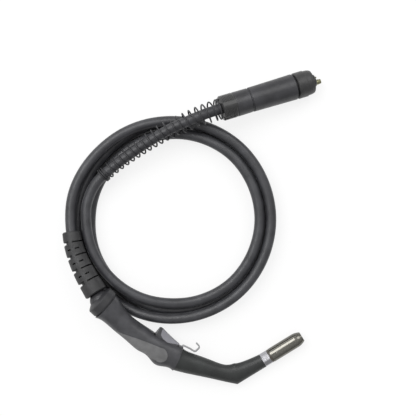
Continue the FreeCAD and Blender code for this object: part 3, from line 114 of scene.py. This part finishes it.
MOULDED = {
    "lead_rubber": dict(colour=(0.0315, 0.032, 0.036), roughness=0.42, grain=0.00004, grain_scale=1400.0),
    "boot_rubber": dict(colour=(0.02, 0.02, 0.021), roughness=0.55),
    "handle_plastic": dict(colour=(0.043, 0.043, 0.0475), roughness=0.36, grain=0.00005, grain_scale=1500.0),
    "inlay_rubber": dict(colour=(0.13, 0.13, 0.132), roughness=0.6, grain=0.0001, grain_scale=1800.0,
                         variation=0.2),
    "trigger_plastic": dict(colour=(0.042, 0.042, 0.046), roughness=0.42),
    "pad_plastic": dict(colour=(0.205, 0.203, 0.225), roughness=0.5, grain=0.00005, grain_scale=1200.0,
                        variation=0.1),
    "switch_plastic": dict(colour=(0.03, 0.03, 0.03), roughness=0.5),
    "neck_plastic": dict(colour=(0.0165, 0.0185, 0.018), roughness=0.44, grain=0.00003, grain_scale=900.0),
    "ball_plastic": dict(colour=(0.02, 0.02, 0.0225), roughness=0.45),
    "insulator_plastic": dict(colour=(0.06, 0.052, 0.04), roughness=0.4),
    "bushing_plastic": dict(colour=(0.02, 0.02, 0.0205), roughness=0.26),
    "plug_plastic": dict(colour=(0.026, 0.026, 0.0295), roughness=0.38),
    "nut_plastic": dict(colour=(0.026, 0.026, 0.0265), roughness=0.42),
}
METAL = {
    "steel": dict(colour=(0.5, 0.5, 0.51), roughness=0.3, stretch=(900, 900, 900)),
    "hook_steel": dict(colour=(0.4, 0.4, 0.41), roughness=0.3, stretch=(300, 300, 2500)),
    "nut_chrome": dict(colour=(0.42, 0.42, 0.44), roughness=0.16, stretch=(2500, 200, 200),
                       turn=NOZZLE_TURN),
    "nozzle_metal": dict(colour=(0.165, 0.16, 0.143), roughness=0.16, stretch=(900, 420, 420),
                         turn=NOZZLE_TURN, variation=0.35),
    "spring_steel": dict(colour=(0.04, 0.04, 0.043), roughness=0.42, stretch=(700, 700, 700),
                         metallic=0.5),
    "copper": dict(colour=(0.62, 0.33, 0.2), roughness=0.3, stretch=(900, 900, 900)),
    "brass": dict(colour=(0.22, 0.215, 0.135), roughness=0.34, stretch=(2500, 300, 300),
                  turn=PLUG_TURN, variation=0.25),
}


def way(heading, slope):
    """Unit vector at a heading in plan and a slope above the bench, in degrees."""
    level = math.cos(math.radians(slope))
    return Vector((level * math.cos(math.radians(heading)), level * math.sin(math.radians(heading)),
                   math.sin(math.radians(slope))))


def add_object(name, data):
    """New object in the scene."""
    thing = bpy.data.objects.new(name, data)
    bpy.context.scene.collection.objects.link(thing)
    return thing


# Materials

def new_material(name):
    """Material with its nodes and links."""
    material = bpy.data.materials.new(name)
    material.use_nodes = True
    return material, material.node_tree.nodes, material.node_tree.links


def coordinates(nodes, links, stretch=(1, 1, 1), turn=(0, 0, 0)):
    """Object coordinates, turned and stretched."""
    place = nodes.new("ShaderNodeTexCoord")
    mapping = nodes.new("ShaderNodeMapping")
    mapping.inputs["Scale"].default_value = stretch
    mapping.inputs["Rotation"].default_value = turn
    links.new(place.outputs["Object"], mapping.inputs["Vector"])
    return mapping.outputs["Vector"]


def noise(nodes, links, vector, scale, detail, roughness=0.5):
    """Noise in space."""
    texture = nodes.new("ShaderNodeTexNoise")
    texture.inputs["Scale"].default_value = scale
    texture.inputs["Detail"].default_value = detail
    texture.inputs["Roughness"].default_value = roughness
    links.new(vector, texture.inputs["Vector"])
    return texture.outputs["Fac"]


def ramp(nodes, links, value, rise, first, last):
    """Colour or grey that runs from first to last as the value goes through its rise."""
    node = nodes.new("ShaderNodeValToRGB")
    for stop, position, colour in zip(node.color_ramp.elements, rise, (first, last)):
        stop.position = position
        stop.color = (*colour, 1)
    links.new(value, node.inputs["Fac"])
    return node.outputs["Color"]


def calculate(nodes, links, operation, *terms):
    """Value of a math node. A term is a socket or a number."""
    node = nodes.new("ShaderNodeMath")
    node.operation = operation
    for place, term in zip(node.inputs, terms):
        if isinstance(term, float):
            place.default_value = term
        else:
            links.new(term, place)
    return node.outputs["Value"]


def bump(nodes, links, height, distance):
    """Normal of a surface that a height roughens."""
    node = nodes.new("ShaderNodeBump")
    node.inputs["Distance"].default_value = distance
    node.inputs["Strength"].default_value = 1.0
    links.new(height, node.inputs["Height"])
    return node.outputs["Normal"]


def shades(colour, variation):
    """The colour made darker, and made lighter."""
    return [c * (1 - variation) for c in colour], [c * (1 + variation) for c in colour]


def moulded(name, colour, roughness, grain=0.00006, grain_scale=900.0, variation=0.25):
    """Moulded plastic or rubber: fine grain, faint mottling, and a sheen that varies a little."""
    material, nodes, links = new_material(name)
    shader = nodes["Principled BSDF"]
    place = coordinates(nodes, links)
    mottle = noise(nodes, links, place, MOTTLE_SCALE, 4.0)
    tone = ramp(nodes, links, mottle, MOTTLE_RISE, *shades(colour, variation))
    links.new(tone, shader.inputs["Base Color"])
    smudge = noise(nodes, links, place, SMUDGE_SCALE, 5.0, 0.6)
    sheen = ramp(nodes, links, smudge, SMUDGE_RISE, [roughness - SHEEN_BELOW] * 3,
                 [roughness + SHEEN_ABOVE] * 3)
    links.new(sheen, shader.inputs["Roughness"])
    fine = noise(nodes, links, place, grain_scale, 2.0)
    links.new(bump(nodes, links, fine, grain), shader.inputs["Normal"])
    return material


def turned_metal(name, colour, roughness, stretch, turn=(0, 0, 0), variation=0.12, metallic=1.0):
    """Metal with fine lines drawn across the stretched direction."""
    material, nodes, links = new_material(name)
    shader = nodes["Principled BSDF"]
    shader.inputs["Metallic"].default_value = metallic
    drawn = noise(nodes, links, coordinates(nodes, links, stretch, turn), 1.0, 4.0, 0.7)
    tone = ramp(nodes, links, drawn, DRAWN_COLOUR_RISE, *shades(colour, variation))
    links.new(tone, shader.inputs["Base Color"])
    smooth, rough = [[roughness * share] * 3 for share in DRAWN_SHEEN_SPAN]
    links.new(ramp(nodes, links, drawn, DRAWN_SHEEN_RISE, smooth, rough), shader.inputs["Roughness"])
    links.new(bump(nodes, links, drawn, DRAWN_DEPTH), shader.inputs["Normal"])
    return material


# Fixed frame from the CAD
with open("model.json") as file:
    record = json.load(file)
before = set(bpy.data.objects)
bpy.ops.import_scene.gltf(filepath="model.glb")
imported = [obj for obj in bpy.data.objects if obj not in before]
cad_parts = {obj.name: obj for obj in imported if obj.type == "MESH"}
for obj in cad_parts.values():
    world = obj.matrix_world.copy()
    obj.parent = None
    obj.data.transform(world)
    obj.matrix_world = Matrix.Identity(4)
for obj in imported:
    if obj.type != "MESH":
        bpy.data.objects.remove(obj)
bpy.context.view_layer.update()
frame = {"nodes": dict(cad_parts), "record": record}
nodes_of = frame["nodes"]

materials = {name: moulded(name, **look) for name, look in MOULDED.items()}
materials.update({name: turned_metal(name, **look) for name, look in METAL.items()})
for entry in frame["record"]["subparts"]:
    node = nodes_of[entry["node"]]
    node.material_slots[0].material = materials[entry["material_slot"]]
nodes_of["bend_relief"].material_slots[0].material = materials["boot_rubber"]


# Lead: one smooth line from the ball's stem, through the coil's turns, to the plug

def coil_place(angle):
    """Control point of the coil at an angle, set out because the curve cuts the corner at each one."""
    for before, after in zip(COIL_STATIONS, COIL_STATIONS[1:]):
        if angle <= after[0]:
            break
    share = (angle - before[0]) / (after[0] - before[0])
    radius = before[1] + share * (after[1] - before[1])
    radius /= 0.75 + 0.25 * math.cos(math.radians(TURN_STEP))
    lift = before[2] + share * (after[2] - before[2])
    turn = math.radians(angle)
    return COIL_CENTRE + Vector((-radius * math.cos(turn), radius * math.sin(turn), CABLE_RADIUS + lift))


def lead_route():
    """Control points of the lead."""
    stem_way = way(STEM_HEADING, STEM_SLOPE)
    coil_way = way(RELIEF_END_HEADING, RELIEF_END_SLOPE)
    plug_way = way(PLUG_HEADING, PLUG_SLOPE)
    points = [BALL_CENTRE + stem_way * STEM_START, BALL_CENTRE + stem_way * RELIEF_CORNER,
              RELIEF_END - coil_way * RELIEF_END_REACH, RELIEF_END + coil_way * RELIEF_END_REACH]
    points += [coil_place(angle) for angle in range(TURN_STEP, COIL_END + 1, TURN_STEP)]
    points += [COIL_CENTRE + Vector(point) for point in TAIL_ROUTE]
    points += [PLUG_ENTRY - plug_way * PLUG_STRAIGHT, PLUG_ENTRY + plug_way * CABLE_ENTRY]
    return points


def make_lead():
    """Round cable along the route, in place of the CAD's own."""
    curve = bpy.data.curves.new("lead", "CURVE")
    curve.dimensions = "3D"
    spline = curve.splines.new("NURBS")
    route = lead_route()
    spline.points.add(len(route) - 1)
    for place, point in zip(spline.points, route):
        place.co = (*point, 1)
    spline.order_u = LEAD_ORDER
    spline.use_endpoint_u = True
    spline.resolution_u = LEAD_SMOOTHNESS
    curve.bevel_depth = CABLE_RADIUS
    curve.bevel_resolution = LEAD_SMOOTHNESS
    curve.use_fill_caps = True
    lead = add_object("lead", curve)
    curve.materials.append(materials["lead_rubber"])
    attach(lead, "lead")
    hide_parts("cable_coil", "cable_tail", "lead_end")
    return lead


lead = make_lead()


# Stage

def floor_material():
    """Looks white wherever the floor lies open, and paints shade into its colour in the gaps of the coil."""
    material, nodes, links = new_material("floor")
    shader = nodes["Principled BSDF"]
    shader.inputs["Roughness"].default_value = FLOOR_ROUGHNESS
    open_sky = nodes.new("ShaderNodeAmbientOcclusion")
    open_sky.inputs["Distance"].default_value = SKY_REACH
    open_sky.samples = SKY_SAMPLES
    # Painted shade: the floor's colour drops to dark grey where ambient occlusion finds the torch near
    painted_gap_shade = ramp(nodes, links, open_sky.outputs["AO"], PAINTED_SHADE_RISE, [GAP_PAINTED_SHADE] * 3, [OPEN_GREY] * 3)
    links.new(painted_gap_shade, shader.inputs["Base Color"])
    white = nodes.new("ShaderNodeEmission")
    white.inputs["Strength"].default_value = 1.0
    path = nodes.new("ShaderNodeLightPath")
    seen = calculate(nodes, links, "MAXIMUM", path.outputs["Is Camera Ray"], path.outputs["Is Glossy Ray"])
    seen = calculate(nodes, links, "MAXIMUM", seen, path.outputs["Is Transmission Ray"])
    # The white glow is held back in the same gaps, so the painted shade shows there
    clear = ramp(nodes, links, open_sky.outputs["AO"], WHITE_RISE, [0] * 3, [WHITE_SHARE] * 3)
    mix = nodes.new("ShaderNodeMixShader")
    links.new(calculate(nodes, links, "MULTIPLY", seen, clear), mix.inputs["Fac"])
    links.new(shader.outputs["BSDF"], mix.inputs[1])
    links.new(white.outputs["Emission"], mix.inputs[2])
    links.new(mix.outputs["Shader"], nodes["Material Output"].inputs["Surface"])
    return material


def make_floor():
    """Bench under the torch."""
    mesh = bpy.data.meshes.new("floor")
    corners = [(-FLOOR_HALF, -FLOOR_HALF, 0), (FLOOR_HALF, -FLOOR_HALF, 0),
               (FLOOR_HALF, FLOOR_HALF, 0), (-FLOOR_HALF, FLOOR_HALF, 0)]
    mesh.from_pydata(corners, [], [(0, 1, 2, 3)])
    mesh.materials.append(floor_material())
    floor = add_object("floor", mesh)
    floor.location = (0, 0, FLOOR_HEIGHT)


def make_lamp(name, place, width, height, power):
    """Soft lamp that looks at the bench."""
    data = bpy.data.lights.new(name, "AREA")
    data.energy = power
    data.shape = "RECTANGLE"
    data.size = width
    data.size_y = height
    lamp = add_object(name, data)
    lamp.location = place
    lamp.rotation_mode = "QUATERNION"
    lamp.rotation_quaternion = (LAMP_AIM - Vector(place)).to_track_quat("-Z", "Y")
    lamp.visible_camera = False


def make_world():
    """Light of the room, from its dim side to its bright one."""
    world = bpy.data.worlds.new("world")
    bpy.context.scene.world = world
    world.use_nodes = True
    nodes = world.node_tree.nodes
    links = world.node_tree.links
    direction = nodes.new("ShaderNodeTexCoord")
    facing = nodes.new("ShaderNodeVectorMath")
    facing.operation = "DOT_PRODUCT"
    facing.inputs[1].default_value = BRIGHT_SIDE
    links.new(direction.outputs["Generated"], facing.inputs[0])
    half = calculate(nodes, links, "MULTIPLY_ADD", facing.outputs["Value"], 0.5, 0.5)
    sky = ramp(nodes, links, half, SKY_RISE, [DIM_SKY] * 3, [BRIGHT_SKY] * 3)
    links.new(sky, nodes["Background"].inputs["Color"])
    nodes["Background"].inputs["Strength"].default_value = 1.0


def make_camera():
    """Camera straight above the torch."""
    data = bpy.data.cameras.new("camera")
    data.lens = CAMERA_LENS
    data.sensor_width = CAMERA_SENSOR
    data.clip_start = CAMERA_NEAR
    data.clip_end = CAMERA_FAR
    camera = add_object("camera", data)
    camera.location = (*CAMERA_CENTRE, CAMERA_HEIGHT)
    bpy.context.scene.camera = camera


make_floor()
for lamp in LAMPS:
    make_lamp(*lamp)
make_world()
make_camera()
bpy.context.scene.view_settings.view_transform = "Standard"
